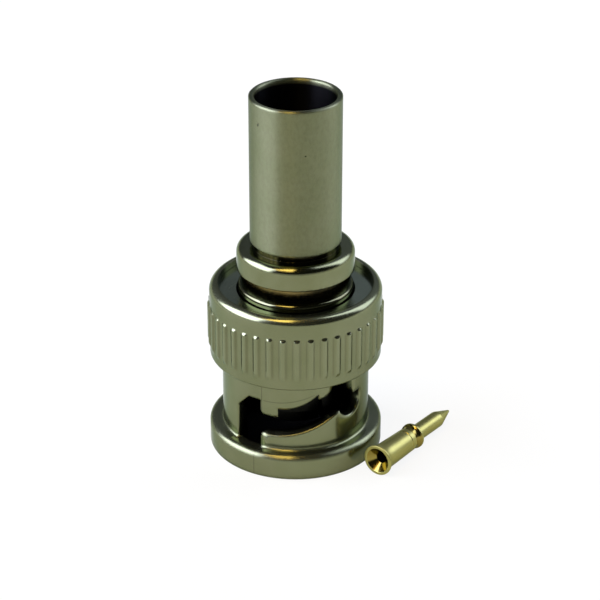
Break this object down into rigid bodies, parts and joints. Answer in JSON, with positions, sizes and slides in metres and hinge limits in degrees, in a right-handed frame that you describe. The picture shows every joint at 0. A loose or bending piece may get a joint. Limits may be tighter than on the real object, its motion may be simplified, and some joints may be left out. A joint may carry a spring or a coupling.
{
  "type": "bnc connector",
  "caption": "Coaxial BNC crimp plug: ribbed bayonet coupling nut sprung on a turned body, slotted outer contact, crimp ferrule over the cable end and a loose gold centre contact.",
  "frame": {"origin": "on the plug's axis, in the plane of the coupling nut's front face, which it stands on", "axes": "+Z along the plug's axis to the cable end; -Y is the side with the bayonet slot seen in the picture; +X to the right of it"},
  "size_m": [0.0203, 0.0144, 0.0308],
  "materials": {
    "nut_nickel": "satin",
    "body_nickel": "satin",
    "ferrule_nickel": "satin",
    "spring_steel": "satin",
    "contact_nickel": "satin",
    "insulator_white": "matte",
    "gasket_rubber": "matte",
    "pin_gold": "polished"
  },
  "bodies": {
    "plug_body": {"connector_body": "body_nickel", "crimp_ferrule": "ferrule_nickel", "outer_contact": "contact_nickel", "insulator": "insulator_white", "gasket": "gasket_rubber", "rear_wave_washer": "spring_steel", "front_wave_washer": "spring_steel", "centre_contact": "pin_gold"},
    "washer": {"thrust_washer": "spring_steel"},
    "nut": {"coupling_nut": "nut_nickel", "retaining_ring": "spring_steel"}
  },
  "joints": [
    {"name": "nut_pull", "type": "slide", "parent": "plug_body", "child": "washer", "axis": [0, 0, -1], "range_m": [0, 0.0006], "stiffness_N_per_m": 1500, "deforming": ["rear_wave_washer", "front_wave_washer"]},
    {"name": "nut_turn", "type": "hinge", "parent": "washer", "child": "nut", "pos_m": [0, 0, 0.0137], "axis": [0, 0, 1], "continuous": true}
  ]
}
